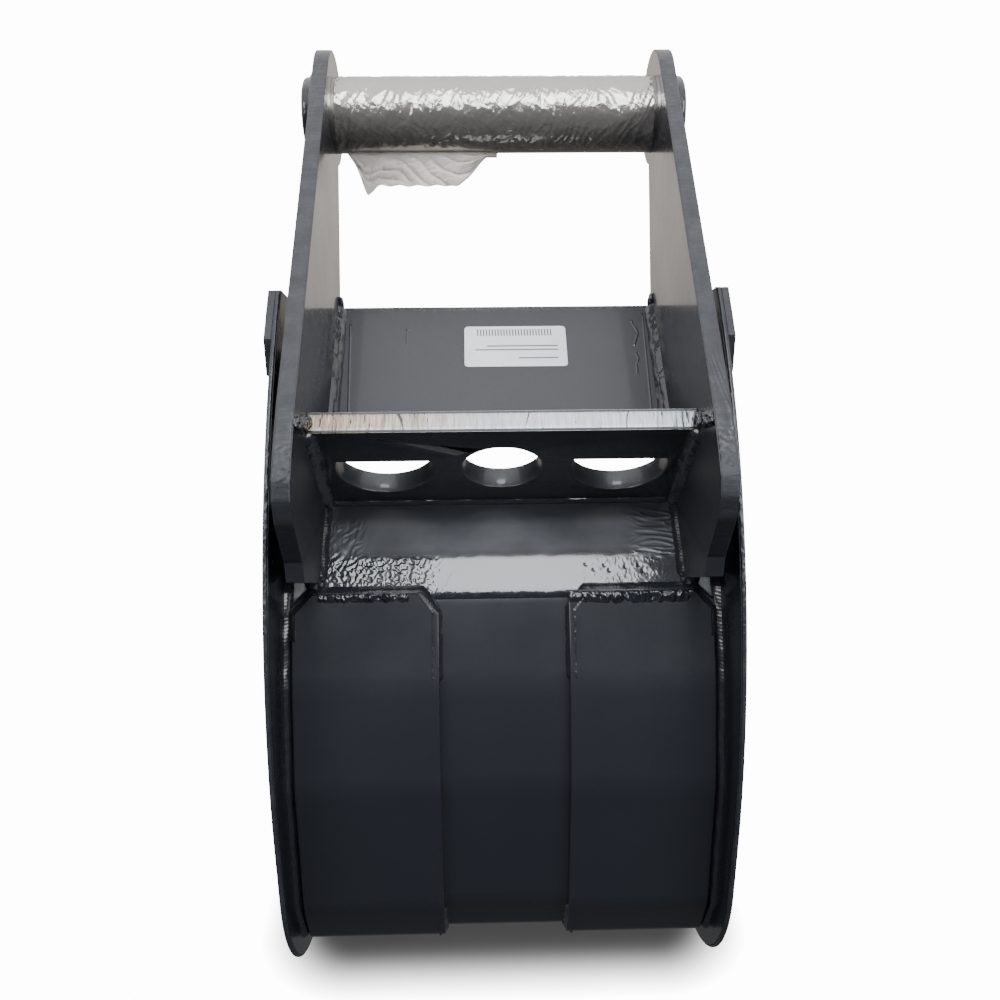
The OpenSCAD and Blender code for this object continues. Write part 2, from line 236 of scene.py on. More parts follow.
def shell_paint():
    """Run paint on the shell between the ears: glossy low down; dull and lighter grey near the seam, partly a
    dusting and partly a painted sheen.
    """
    made = Finish("shell_run_paint")
    upper = made.range(made.axis(made.place, "Z"), 0.405, 0.413)
    near_seam = made.range(made.axis(made.place, "Z"), 0.434, 0.428)
    cloud = made.range(made.noise(16, 3), 0.35, 0.7, 0.25, 1.0)
    # The lighter grey band below the seam is partly a dusting and partly a painted sheen.
    seam_dust_and_sheen = made.math("MULTIPLY", made.math("MULTIPLY", upper, near_seam), cloud)
    made.set(Base_Color=made.mix(seam_dust_and_sheen, PAINT, SEAM_DUST_AND_SHEEN))
    made.set(Roughness=made.range(upper, 0.0, 1.0, 0.13, 0.42))
    made.set(Coat_Weight=made.range(upper, 0.0, 1.0, 0.6, 0.0), Coat_Roughness=0.06)
    made.set(Normal=made.bump(made.noise(240, 3), 0.06, 0.001))
    return made.material


def turned_steel():
    """Bright drawn bar, a little clouded."""
    made = Finish("bright_bar_steel")
    cloud = made.noise(24, 4, 0.6)
    made.set(Base_Color=made.mix(made.range(cloud, 0.3, 0.7), (0.46, 0.43, 0.39), (0.60, 0.57, 0.53)))
    made.set(Metallic=1.0, Roughness=made.range(cloud, 0.3, 0.7, 0.24, 0.36))
    made.set(Normal=made.bump(made.noise(90, 3), 0.08, 0.0008))
    return made.material


def flame_cut():
    """Bare flame-cut edge: drag lines across it, brown from the heat on the left, bright on the right."""
    made = Finish("flame_cut_steel")
    x = made.axis(made.place, "X")
    side = made.range(x, -0.13, 0.03)
    lines = made.noise(36, 4, 0.7, stretch=(11, 1, 1), turn=(0, 12, 0))
    fine = made.noise(52, 3, 0.6, stretch=(14, 1, 1), turn=(0, -8, 0))
    stain = made.noise(20, 4, 0.6, stretch=(5, 1, 1))
    metal = made.mix(made.range(fine, 0.35, 0.65), made.mix(side, (0.26, 0.20, 0.155), (0.40, 0.42, 0.46)),
                     made.mix(side, BARE_WARM, BARE_COLD))
    brown = made.math("MULTIPLY", made.range(stain, 0.5, 0.6), made.range(side, 0.0, 0.8, 0.85, 0.0))
    ends = made.range(made.math("ABSOLUTE", x), 0.04, 0.15, 0.68, 0.56)
    dark = made.range(made.math("SUBTRACT", lines, ends), 0.0, 0.03)
    made.set(Base_Color=made.mix(dark, made.mix(brown, metal, (0.12, 0.085, 0.065)), (0.045, 0.045, 0.05)))
    made.set(Metallic=0.7, Roughness=0.45, Normal=made.bump(lines, 0.6, 0.001))
    return made.material


def clear_film():
    """Thin crinkled wrapping film."""
    made = Finish("clear_film")
    folds = made.noise(38, 5, 0.7, stretch=(1, 1.6, 1.6), turn=(20, 0, 35))
    made.set(Base_Color=(0.62, 0.59, 0.55), Metallic=0.85, Roughness=0.17)
    made.set(Alpha=made.range(folds, 0.3, 0.7, 0.4, 0.62), Normal=made.bump(folds, 0.35, 0.002))
    return made.material


def milky_film():
    """The torn flap of the same film, bunched and milky, with painted shade in the low parts of its folds."""
    made = Finish("milky_film")
    folds = made.noise(42, 5, 0.7, stretch=(1, 1.6, 1.6), turn=(20, 0, 35))
    # Darker where the folds run low: painted shade in the creases.
    made.set(Base_Color=made.mix(made.range(folds, 0.35, 0.65), (0.60, 0.545, 0.50), (0.74, 0.68, 0.63)))
    made.set(Roughness=0.22, Alpha=made.range(folds, 0.3, 0.7, 0.97, 0.9))
    made.set(Normal=made.bump(folds, 0.4, 0.003))
    return made.material


def label_paper():
    """White gloss label stock."""
    made = Finish("label_paper")
    cloud = made.range(made.noise(30, 3), 0.4, 0.7)
    made.set(Base_Color=made.mix(cloud, (0.86, 0.86, 0.87), (0.80, 0.80, 0.82)))
    made.set(Roughness=0.35, Normal=made.bump(made.noise(25, 2), 0.15, 0.002))
    return made.material


def label_ink():
    """Flat grey print."""
    made = Finish("label_ink")
    made.set(Base_Color=made.mix(made.noise(300, 2), (0.10, 0.10, 0.11), (0.16, 0.16, 0.17)), Roughness=0.5)
    return made.material


paint = black_paint("black_paint")
runny_paint = black_paint("runny_paint", rough=0.14, orange_peel=0.05)
bead_paint = black_paint("bead_paint", rough=0.20, grey_share=0.0)
# The locking plate's underside gets a heavy grey share: painted light, lifting a face in shade as if lit from
# below.
underside_painted_light = black_paint("underside_paint_painted_light", rough=0.4, grey_share=0.6)
edge_paint = plate_paint()
run_shell_paint = shell_paint()
shaft_steel = turned_steel()
film = clear_film()
flap_film = milky_film()


# Helpers for lines and places

def side_vector(corner):
    """A (y, z) corner as a place in the bucket's middle plane."""
    return Vector((0, *corner))


def at_x(place, x):
    return Vector((x, place.y, place.z))


def walk(points, step):
    """Places at even steps along a line of points, as (place, direction)."""
    places = []
    for start, end in zip(points, points[1:]):
        run = end - start
        count = max(1, round(run.length / step))
        places += [(start + run * (i / count), run.normalized()) for i in range(count)]
    return places + [(points[-1], places[-1][1])]


def even_out(vectors, reach):
    """Each vector turned towards the mean of its neighbours."""
    last = len(vectors) - 1
    return [sum((vectors[max(0, min(last, i + j))] for j in range(-reach, reach + 1)), Vector()).normalized()
            for i in range(last + 1)]


def fade(value, low, high):
    """0 below low, 1 above high, and smooth between."""
    share = max(0.0, min(1.0, (value - low) / (high - low)))
    return share * share * (3 - 2 * share)


def hills(x, y=0.0, z=0.0):
    """Smooth random height at a place, the same each run."""
    return noise.noise(Vector((x, y, z)))


def ridges(x, y, turn, width, length, seed):
    """Long soft ridges, width and length apart, turned from the X axis by an angle in degrees."""
    angle = math.radians(turn)
    along = x * math.cos(angle) + y * math.sin(angle)
    over = y * math.cos(angle) - x * math.sin(angle)
    bent = hills(along / length, over / length, seed + 7)
    value = hills(along / length, over / width + 1.2 * bent, seed)
    return max(0.0, 1 - 3.0 * abs(value)) ** 1.5


# Making of pieces

def moved_verts(geometry):
    return [found for found in geometry if isinstance(found, bmesh.types.BMVert)]


def cut_off(bm, place, normal):
    """Cut away what lies beyond a plane, and close the cut."""
    cut = bmesh.ops.bisect_plane(bm, geom=bm.verts[:] + bm.edges[:] + bm.faces[:], clear_outer=True,
                                 plane_co=place, plane_no=normal)
    rim = [edge for edge in cut["geom_cut"] if isinstance(edge, bmesh.types.BMEdge)]
    bmesh.ops.contextual_create(bm, geom=rim)


def dress(piece, material):
    piece.data.materials.clear()
    piece.data.materials.append(material)


def soften_edges(piece, width):
    """Round the cut edges of a plate a little."""
    joined = piece.modifiers.new("joined", "WELD")
    joined.merge_threshold = JOIN
    bevel = piece.modifiers.new("edges", "BEVEL")
    bevel.width = width
    bevel.segments = 2
    bevel.limit_method = "ANGLE"
    bevel.angle_limit = math.radians(30)


def finished(name, bm, material, smooth=35):
    """A piece from a bmesh, riding on the bucket."""
    bmesh.ops.remove_doubles(bm, verts=bm.verts, dist=JOIN)
    bmesh.ops.recalc_face_normals(bm, faces=bm.faces)
    mesh = bpy.data.meshes.new(name)
    bm.to_mesh(mesh)
    bm.free()
    mesh.polygons.foreach_set("use_smooth", [True] * len(mesh.polygons))
    mesh.set_sharp_from_angle(angle=math.radians(smooth))
    piece = bpy.data.objects.new(name, mesh)
    bpy.context.scene.collection.objects.link(piece)
    dress(piece, material)
    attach(piece, "root")
    return piece


def side_profile(node, x=None):
    """Corners of a node cut across at x, as (y, z), going round from its highest corner to the rear."""
    low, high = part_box(node)
    bm = bmesh.new()
    bm.from_mesh(nodes[node].data)
    bmesh.ops.remove_doubles(bm, verts=bm.verts, dist=JOIN)
    bmesh.ops.dissolve_limit(bm, angle_limit=math.radians(1), verts=bm.verts, edges=bm.edges)
    middle = (low.x + high.x) / 2 if x is None else x
    cut_off(bm, (middle, 0, 0), (1, 0, 0))
    bmesh.ops.dissolve_limit(bm, angle_limit=math.radians(1), verts=bm.verts, edges=bm.edges)
    end = max((face for face in bm.faces if abs(face.calc_center_median().x - middle) < JOIN),
              key=lambda face: face.calc_area())
    corners = [(v.co.y, v.co.z) for v in end.verts]
    bm.free()
    top = max(range(len(corners)), key=lambda i: corners[i][1])
    corners = corners[top:] + corners[:top]
    if corners[1][0] > corners[-1][0]:
        corners = corners[:1] + corners[:0:-1]
    return corners


def bend_lines(node):
    """The outer and inner line of a bent plate, each from its top edge to its far end."""
    corners = side_profile(node)
    half = len(corners) // 2
    return corners[:half], corners[:half - 1:-1]


def bent_plate(name, node, cut_sides=()):
    """A plate with its press-brake bends rounded, and its top corners cut off on the sides asked for."""
    outer, inner = bend_lines(node)
    low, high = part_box(node)
    bm = bmesh.new()
    outline = [bm.verts.new((low.x, y, z)) for y, z in outer + inner[::-1]]
    far = bmesh.ops.extrude_face_region(bm, geom=[bm.faces.new(outline)])["geom"]
    bmesh.ops.translate(bm, verts=moved_verts(far), vec=(high.x - low.x, 0, 0))
    bmesh.ops.recalc_face_normals(bm, faces=bm.faces)
    bends = [edge for edge in bm.edges
             if abs(edge.verts[0].co.x - edge.verts[1].co.x) > BEND_R
             and 0.04 < abs(edge.calc_face_angle()) < 1.2]
    bmesh.ops.bevel(bm, geom=bends, offset=BEND_R, offset_type="OFFSET", segments=7, profile=0.5,
                    affect="EDGES", material=-1)
    for side in cut_sides:
        edge_x = high.x if side > 0 else low.x
        cut_off(bm, (edge_x, 0, outer[0][1] - WEAR_CORNER), (side, 0, 1))
    piece = finished(name, bm, paint)
    soften_edges(piece, 0.9 * MM)
    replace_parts(piece, node)


def weld(bm, stops, leg, seed, ripple=0.018, lumps=0.10, closed=False):
    """A rippled bead in the corner of two faces. Each stop is its corner and the way along either face."""
    pitch, around = 3.2 * MM, 8
    count = len(stops) - 1
    grid = bmesh.ops.create_grid(bm, x_segments=count, y_segments=around + 1, size=1)["verts"]
    travelled = [0.0]
    for (one, _, _), (two, _, _) in zip(stops, stops[1:]):
        travelled.append(travelled[-1] + (two - one).length)
    length = travelled[-1]
    for vert in grid:
        i = round((vert.co.x + 1) / 2 * count)
        ring = round((vert.co.y + 1) / 2 * (around + 1))
        place, first, second = stops[i]
        if ring in (0, around + 1):
            vert.co = place - 0.25 * leg * (first + second)
            continue
        angle = math.pi / 2 * (ring - 1) / (around - 1)
        chord = 1 / (math.cos(angle) + math.sin(angle))
        bulge = 0.45 + 0.55 * chord
        s = travelled[i]
        wave = math.sin(2 * math.pi * (s / pitch + 0.5 * math.cos(2 * angle - math.pi / 2)))
        uneven = hills(s * 60, angle * 1.2, seed) + 0.4 * hills(s * 190, angle * 2, seed)
        size = leg * bulge * (1 + ripple * wave + lumps * uneven)
        if not closed:
            end = min(s, length - s) / (0.7 * leg)
            size *= math.sqrt(max(0.02, min(1.0, end)))
        vert.co = place + size * (math.cos(angle) * first + math.sin(angle) * second)


def close_ends(bm):
    """Close the open ends of the beads."""
    bmesh.ops.remove_doubles(bm, verts=bm.verts, dist=JOIN)
    open_edges = [edge for edge in bm.edges if edge.is_boundary]
    bmesh.ops.holes_fill(bm, edges=open_edges, sides=0)


def corner_stops(points, wall, rise, step):
    """Stops of a bead along a side-view line, with its legs along the wall's normal and along the plate's."""
    places = walk(points, step)
    turned = [Vector((0, -way.z, way.y)) * rise for _, way in places]
    turned = even_out(turned, 5)
    return [(place, Vector((wall, 0, 0)), up) for (place, _), up in zip(places, turned)]


shell_outer, shell_inner = bend_lines("shell")
wear_outer, wear_inner = bend_lines("wear_plate_right")

bent_plate("bent_shell", "shell")
bent_plate("bent_wear_plate_left", "wear_plate_left", cut_sides=(-1, 1))
bent_plate("bent_wear_plate_right", "wear_plate_right", cut_sides=(1,))


def shell_beads():
    """Long beads down both sides of the shell, outside and inside."""
    bm = bmesh.new()
    cut_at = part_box("cutting_edge")[0].y
    outside = shell_outer[:-1] + [(cut_at, shell_outer[-1][1])]
    for side in (-1, 1):
        for corners, rise in ((outside, -1), (shell_inner, 1)):
            line = [Vector((side * WALL_IN, *corner)) for corner in corners]
            stops = corner_stops(line, -side, rise, 1.1 * MM)
            weld(bm, stops, 7 * MM, seed=side + rise)
    close_ends(bm)
    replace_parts(finished("long_side_beads", bm, bead_paint), "shell_weld_beads")


shell_beads()


def plate_frame(node):
    """A sloping plate's upper face: its top corner, its foot, the way down it, and the way out of it."""
    corners = [side_vector(corner) for corner in side_profile(node)]
    top, foot = corners[0], corners[-1]
    if (corners[1] - top).length > (foot - top).length:
        foot = corners[1]
    down = (foot - top).normalized()
    out = Vector((0, down.z, -down.y))
    return top, foot, down, out if out.z > 0 else -out


def straight_stops(start, end, first, second):
    """Stops of a straight bead."""
    return [(place, first, second) for place, _ in walk([start, end], BEAD_STEP)]


def ring_stops(x, centre, radius, outwards, count):
    """Stops of a bead round a bar where it leaves a plate."""
    stops = []
    for i in range(count + 1):
        turn = 2 * math.pi * i / count
        spoke = Vector((0, math.cos(turn), math.sin(turn)))
        stops.append((at_x(centre, x) + radius * spoke, spoke, outwards * ACROSS))
    return stops


# Lines of the hanger in the side view
shell_top, first_bend, second_bend, third_bend = (side_vector(corner) for corner in shell_outer[:4])
seat_top, seat_foot, seat_down, seat_out = plate_frame("seat_plate")
lock_corners = side_profile("locking_plate", BESIDE_EAR)
lock_top, lock_near, lock_far = (side_vector(corner) for corner in lock_corners[:3])
lock_along = (lock_far - lock_near).normalized()
ear_line = [side_vector(corner) for corner in side_profile("ear_right")]
rim_line = [side_vector(corner) for corner in side_profile("side_plate_right")]
ear_bend = next(i for i, place in enumerate(ear_line) if place.z < 0.6 and i > 2)


def plate_beads(name, node, replaced):
    """Beads between a sloping plate and the ears, above and below it."""
    bm = bmesh.new()
    corners = [side_vector(corner) for corner in side_profile(node, BESIDE_EAR)]
    upper, lower = (corners[0], corners[-1]), (corners[1], corners[2])
    if node == "seat_plate":
        upper, lower = (corners[0], corners[1]), (corners[-1], corners[2])
    for side in (-1, 1):
        for (start, end), far in ((upper, lower), (lower, upper)):
            out = (start - far[0]).normalized()
            stops = straight_stops(at_x(start, side * EAR_IN), at_x(end, side * EAR_IN), -side * ACROSS, out)
            weld(bm, stops, 9 * MM, seed=side + out.z, ripple=0.0)
    close_ends(bm)
    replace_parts(finished(name, bm, bead_paint), replaced)


def seam_bead():
    """Smooth bead where the locking plate's underside meets the shell."""
    bm = bmesh.new()
    down_shell = (first_bend - shell_top).normalized()
    stops = straight_stops(at_x(shell_top, -EAR_IN), at_x(shell_top, EAR_IN), down_shell, -lock_along)
    weld(bm, stops, 4.2 * MM, seed=4, ripple=0.0, lumps=0.1)
    close_ends(bm)
    finished("seam_bead", bm, runny_paint)


def ear_foot_beads():
    """Beads between the ears and the shell, outside and inside."""
    bm = bmesh.new()
    share = (first_bend.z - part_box("ear_right")[0].z) / (first_bend.z - second_bend.z)
    ear_foot = first_bend.lerp(second_bend, share)
    for side in (-1, 1):
        for x, away, leg in ((EAR_OUT, side, 9 * MM), (EAR_IN, -side, 6 * MM)):
            line = [at_x(place, side * x) for place in (shell_top, first_bend, ear_foot)]
            places = walk(line, BEAD_STEP)
            ups = even_out([Vector((0, way.z, -way.y)) for _, way in places], 4)
            stops = [(place, away * ACROSS, up) for (place, _), up in zip(places, ups)]
            weld(bm, stops, leg, seed=x * side * 50)
        across_foot = straight_stops(at_x(ear_foot, side * EAR_IN), at_x(ear_foot, side * EAR_OUT),
                                     (second_bend - first_bend).normalized(), ups[-1])
        weld(bm, across_foot, 8 * MM, seed=side * 7)
    close_ends(bm)
    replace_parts(finished("ear_foot_beads", bm, bead_paint), "ear_foot_weld_beads")


def wear_beads():
    """Beads round the tops of the wear plates and down their inner edges, and short ones at the heel."""
    bm = bmesh.new()
    lap, inset = 6 * MM, 3 * MM
    top = side_vector(wear_inner[0])
    down = (side_vector(wear_inner[1]) - top).normalized()
    out = Vector((0, down.z, -down.y))
    above = (first_bend - second_bend).normalized()
    for side in (-1, 1):
        spots = [(WEAR_OUT - inset, WEAR_CORNER + 30 * MM), (WEAR_OUT - inset, WEAR_CORNER),
                 (WEAR_OUT - WEAR_CORNER, 2 * MM), (WEAR_IN + WEAR_CORNER, 2 * MM),
                 (WEAR_IN + lap, WEAR_CORNER), (WEAR_IN + lap, (third_bend - second_bend).length)]
        line = [at_x(top, side * x) + d * down for x, d in spots]
        places = walk(line, BEAD_STEP)
        firsts = []
        for place, way in places:
            away = way.cross(out) * side
            firsts.append(away if away.dot(down) > -0.9 else above)
        firsts = even_out(firsts, 6)
        stops = [(place, first, out) for (place, _), first in zip(places, firsts)]
        weld(bm, stops, 9 * MM, seed=side * 3, ripple=0.01, lumps=0.08)
        heel = [at_x(side_vector(corner), side * (WEAR_IN + lap)) for corner in wear_inner[3:6]]
        heel[0] = heel[0].lerp(heel[1], 0.1)
        heel_places = walk(heel, BEAD_STEP)
        ups = even_out([Vector((0, way.z, -way.y)) for _, way in heel_places], 5)
        stops = [(place, -side * ACROSS, up) for (place, _), up in zip(heel_places, ups)]
        weld(bm, stops, 8.5 * MM, seed=side * 5, lumps=0.12)
    close_ends(bm)
    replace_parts(finished("wear_plate_beads", bm, bead_paint), "wear_weld_beads")


def shaft_beads():
    """Heavy rounded rings of weld where the shaft stands out of the ears."""
    for side, name in ((-1, "shaft_weld_left"), (1, "shaft_weld_right")):
        bm = bmesh.new()
        weld(bm, ring_stops(side * EAR_OUT, SHAFT_AT, SHAFT_R, side, 300), 8 * MM, seed=side, lumps=0.15,
             closed=True)
        close_ends(bm)
        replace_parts(finished(name.replace("weld", "weld_ring"), bm, bead_paint), name)


def tube_beads():
    """Rings of weld round the ends of the mouth tube, inside the side plates."""
    tube_lo, tube_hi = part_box("mouth_tube")
    bm = bmesh.new()
    for side in (-1, 1):
        stops = ring_stops(side * WALL_IN, (tube_lo + tube_hi) / 2, (tube_hi.z - tube_lo.z) / 2, -side, 280)
        weld(bm, stops, 7 * MM, seed=side, closed=True)
    close_ends(bm)
    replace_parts(finished("tube_weld_rings", bm, bead_paint), "tube_weld_beads")


plate_beads("seat_plate_beads", "seat_plate", "seat_weld_beads")
plate_beads("locking_plate_beads", "locking_plate", "locking_weld_beads")
seam_bead()
ear_foot_beads()
wear_beads()
shaft_beads()
tube_beads()


def lump(bm, centre, size, seed, uneven=0.35):
    """A blob of weld or run paint."""
    made = bmesh.ops.create_icosphere(bm, subdivisions=4, radius=1)["verts"]
    for vert in made:
        swell = 1 + uneven * noise.noise(vert.co * 1.6 + Vector((seed, 0, 0)))
        swell += 0.3 * uneven * noise.noise(vert.co * 5 + Vector((0, seed, 0)))
        vert.co = centre + Vector([part * scale * swell for part, scale in zip(vert.co, size)])


def corner_lumps():
    """Weld run out from both ends of the locking plate's bare edge, along the ears to their near edges."""
    bm = bmesh.new()
    start = (lock_top + lock_near) / 2
    end = ear_line[ear_bend].lerp(ear_line[ear_bend + 1], 0.35)
    by_ear = EAR_IN - 1.5 * MM
    for side, count in ((-1, 9), (1, 7)):
        for i in range(count):
            share = (i + 0.2) / count
            swing = hills(i * 1.7, side * 4, 2)
            size = (5.5 + 2.5 * hills(i * 2.3, side * 6, 5)) * MM
            centre = at_x(start.lerp(end, share), side * by_ear) + Vector((0, 0, swing * 5 * MM))
            lump(bm, centre, (size * 0.8, size, size * 1.1), seed=side * 9 + i)
        tip = at_x(seat_top, side * by_ear)
        lump(bm, tip + Vector((0, 0, 3 * MM)), (3.5 * MM, 5 * MM, 9 * MM), seed=side + 3, uneven=0.2)
    finished("corner_weld_runs", bm, bead_paint)


corner_lumps()


def skin(name, columns, rows, place, height, material):
    """A thin layer over a face: place gives a spot and the way out of it, and height its thickness there."""
    bm = bmesh.new()
    verts = bmesh.ops.create_grid(bm, x_segments=columns, y_segments=rows, size=1)["verts"]
    for vert in verts:
        u, v = (vert.co.x + 1) / 2, (vert.co.y + 1) / 2
        spot, out = place(u, v)
        rim = min(u * columns, v * rows, (1 - u) * columns, (1 - v) * rows)
        vert.co = spot + out * (height(u, v) if rim > 1.5 else -0.3 * MM)
    bmesh.ops.recalc_face_normals(bm, faces=bm.faces)
    under = bmesh.ops.extrude_face_region(bm, geom=bm.faces[:])["geom"]
    _, out = place(0.5, 0.5)
    bmesh.ops.translate(bm, verts=moved_verts(under), vec=-SKIN_DEPTH * out)
    finished(name, bm, material, smooth=60)


def along_line(places, outs, share, x):
    """A place at a share of a line's length, moved to x, and the way out of the line there."""
    i = share * (len(places) - 1)
    k = min(len(places) - 2, int(i))
    return at_x(places[k].lerp(places[k + 1], i - k), x), outs[round(i)]


def rounded_line(corners, spacing, reach):
    """Places along a side-view line with its bends eased, and the way out of each."""
    places = [place for place, _ in walk(corners, spacing)]
    last = len(places) - 1
    eased = []
    for i in range(last + 1):
        span = min(reach, i, last - i)
        near = places[i - span:i + span + 1]
        eased.append(sum(near, Vector()) / len(near))
    outs = []
    for i in range(last + 1):
        way = (eased[min(last, i + 1)] - eased[max(0, i - 1)]).normalized()
        outs.append(Vector((0, way.z, -way.y)))
    return eased, outs


def shell_skin():
    """Run and wrinkled paint on the shell between the ears."""
    spacing = 1.0 * MM
    low_end = second_bend.lerp(third_bend, 0.1)
    places, outs = rounded_line([shell_top, first_bend, second_bend, low_end], spacing, 3)
    total = len(places) - 1
    half = EAR_IN - 0.5 * MM
    pits = ((76, 69), (83, 74), (93, 70), (97, 75), (112, 72), (124, 70), (128, 76))  # mm across and down

    def place(u, v):
        return along_line(places, outs, v, (2 * u - 1) * half)

    def height(u, v):
        x, d = (2 * u - 1) * half / MM, v * total * spacing / MM
        low = fade(d, 57, 64)
        slants = fade(-x, 118, 140) * fade(d, 14, 26) * fade(-d, -80, -68)
        waves = fade(x, 108, 138) * fade(d, 8, 20) * fade(-d, -66, -56)
        strokes = 0.8 * slants * ridges(x, -d, 62, 4.4, 14, 1.0)
        strokes += 0.85 * waves * ridges(x, -d, -9, 4.8, 26, 2.0)
        strokes += 0.65 * low * fade(-x, 45, 85) * ridges(x, -d, 66, 2.8, 6, 3.0)
        strokes += 0.16 * low * fade(-abs(x + 54), -22, -8) * ridges(x, -d, 58, 3.4, 26, 4.0)
        strokes += 0.09 * low * fade(x, 40, 80) * ridges(x, -d, 80, 1.8, 5, 5.0)
        strokes += 0.15 * fade(d, 84, 92) * ridges(x, -d, 82, 2.0, 12, 6.0)
        for pit_x, pit_d in pits:
            strokes -= 0.30 * fade(-math.hypot(x - pit_x, d - pit_d), -2.4, -0.6)
        fine = (0.02 + 0.07 * low * fade(-x, 40, 80)) * hills(x / 1.5, d / 1.5)
        fine += 0.12 * hills(x / 13, d / 8, 3)
        return (0.45 + strokes + fine) * MM

    skin("shell_paint_skin", 320, total, place, height, run_shell_paint)


shell_skin()


def edge_skin(name, line, inner, outer, columns, height):
    """A skin on an upright plate's cut edge; height takes the share across, Z and the way along."""
    spacing = 1.2 * MM
    places, outs = rounded_line(line, spacing, 3)
    total = len(places) - 1

    def place(u, v):
        return along_line(places, outs, v, inner + u * (outer - inner))

    def at(u, v):
        return height(u, places[round(v * total)].z / MM, v * total * spacing / MM) * MM

    skin(name, columns, total, place, at, edge_paint)


def edge_skins():
    """Run paint on the ears' near edges and on the rims of the side plates."""
    for side, name, patch in ((-1, "left", 533), (1, "right", 540)):
        def ear_height(u, z, d):
            drag = 0.10 * hills(u * 0.8, d / 2.2, side) + 0.12 * hills(u * 2, d / 9, side)
            run = 0.25 * ridges(u * 15, d, 84, 3.5, 60, side + 3.0) * fade(hills(u, d / 60, side), -0.1, 0.3)
            lumps = 1.1 * fade(-abs(z - patch), -15, -7) * max(0, hills(u * 4, d / 3.2, side + 8) + 0.25)
            return 0.35 + drag + run + lumps

        def rim_height(u, z, d):
            upper = fade(z, 350, 400) * fade(-z, -545, -515)
            crown = 1.3 * math.sin(math.pi * u) ** 0.7
            lumps = hills(u * 2.2, d / 7, side + 5) + 0.6 * hills(u * 5, d / 2.8, side)
            chips = 0.5 * fade(hills(u * 2, d / 6, side + 20), 0.35, 0.5)
            return 0.3 + crown + upper * 0.9 * max(0, lumps + 0.2) - chips * (1 - upper) * 0.5

        near = [place for place in ear_line[1:] if place.z > 0.43 and place.y < 0][:ear_bend + 6]
        edge_skin("ear_edge_paint_" + name, near, side * EAR_IN, side * EAR_OUT, 24, ear_height)
        rim = [place for place in rim_line if place.z > 0.02 and place.y < -0.2]
        edge_skin("rim_paint_" + name, rim, side * WALL_IN, side * WALL_OUT, 10, rim_height)


edge_skins()


def wear_top_runs():
    """Lumpy run of paint along the wear plates' top edges."""
    top, below = (side_vector(corner) for corner in wear_outer[:2])
    down = (below - top).normalized()
    out = Vector((0, down.z, -down.y))
    for side, name, start, end, reach in ((-1, "left", 84, 166, 11), (1, "right", 58, 170, 15)):
        def place(u, v):
            return at_x(top + down * (v * reach * MM), side * (start + u * (end - start)) * MM), out

        def height(u, v):
            x = u * (end - start)
            swell = 0.8 + 0.9 * hills(x / 8, 0, side) + 0.5 * hills(x / 3, v * 3, side)
            edge = fade(v, 0.0, 0.25) * fade(-v, -1.0, -0.35 - 0.3 * hills(x / 4, 3, side))
            return (-0.5 + 3.1 * edge * max(0.0, swell)) * MM

        skin("wear_top_run_" + name, round(end - start) * 2, 18, place, height, runny_paint)


wear_top_runs()


def bare_edge():
    """The locking plate's bare flame-cut edge, with its drag lines."""
    half = EAR_IN - 0.2 * MM
    out = -lock_along

    def place(u, v):
        return at_x(lock_near.lerp(lock_top, v), (2 * u - 1) * half), out

    def height(u, v):
        x, d = (2 * u - 1) * half / MM, v * (lock_top - lock_near).length / MM
        lean = x + 0.02 * d * d * (1 if x < 0 else -0.4)
        drag = hills(lean / 1.1, d / 30, 5) + 0.8 * hills(lean / 3.2, d / 18, 9)
        deep = fade(hills(lean / 2.0, d / 40, 12), 0.34, 0.6)
        return (0.45 + 0.2 * drag - 0.6 * deep) * MM

    skin("bare_flame_cut_edge", 640, 12, place, height, flame_cut())


bare_edge()


def seat_skin():
    """A few strokes of run paint near both sides of the seat plate."""
    length = (seat_foot - seat_top).length
    for name, side, inner in (("left", -1, 84 * MM), ("right", 1, 112 * MM)):
        outer = EAR_IN - 7 * MM

        def place(u, v):
            return at_x(seat_top + seat_down * (v * length), side * (inner + u * (outer - inner))), seat_out

        def height(u, v):
            x, d = (inner + u * (outer - inner)) / MM, v * length / MM
            if side < 0:
                strokes = 0.5 * fade(-abs(x - 92), -2.5, -1) * fade(d, 28, 32) * fade(-d, -58, -50)
                strokes += 0.7 * fade(-abs(x - 152 + 0.04 * d), -2, -0.6) * fade(d, 20, 26)
            else:
                crack = 7.0 * hills(0, d / 26, 7) + 1.2 * hills(0, d / 7, 2)
                broken = fade(hills(3, d / 11, 5), -0.35, 0.05) * fade(d, 10, 16) * fade(-d, -100, -88)
                strokes = 0.9 * broken * fade(-abs(x - 141 + crack), -2.2, -0.6)
                strokes += 0.6 * fade(-abs(x - 153 + 0.03 * d), -2, -0.6) * fade(d, 8, 14)
            return (-0.35 + strokes) * MM

        skin("seat_paint_" + name, 110, 170, place, height, runny_paint)


seat_skin()


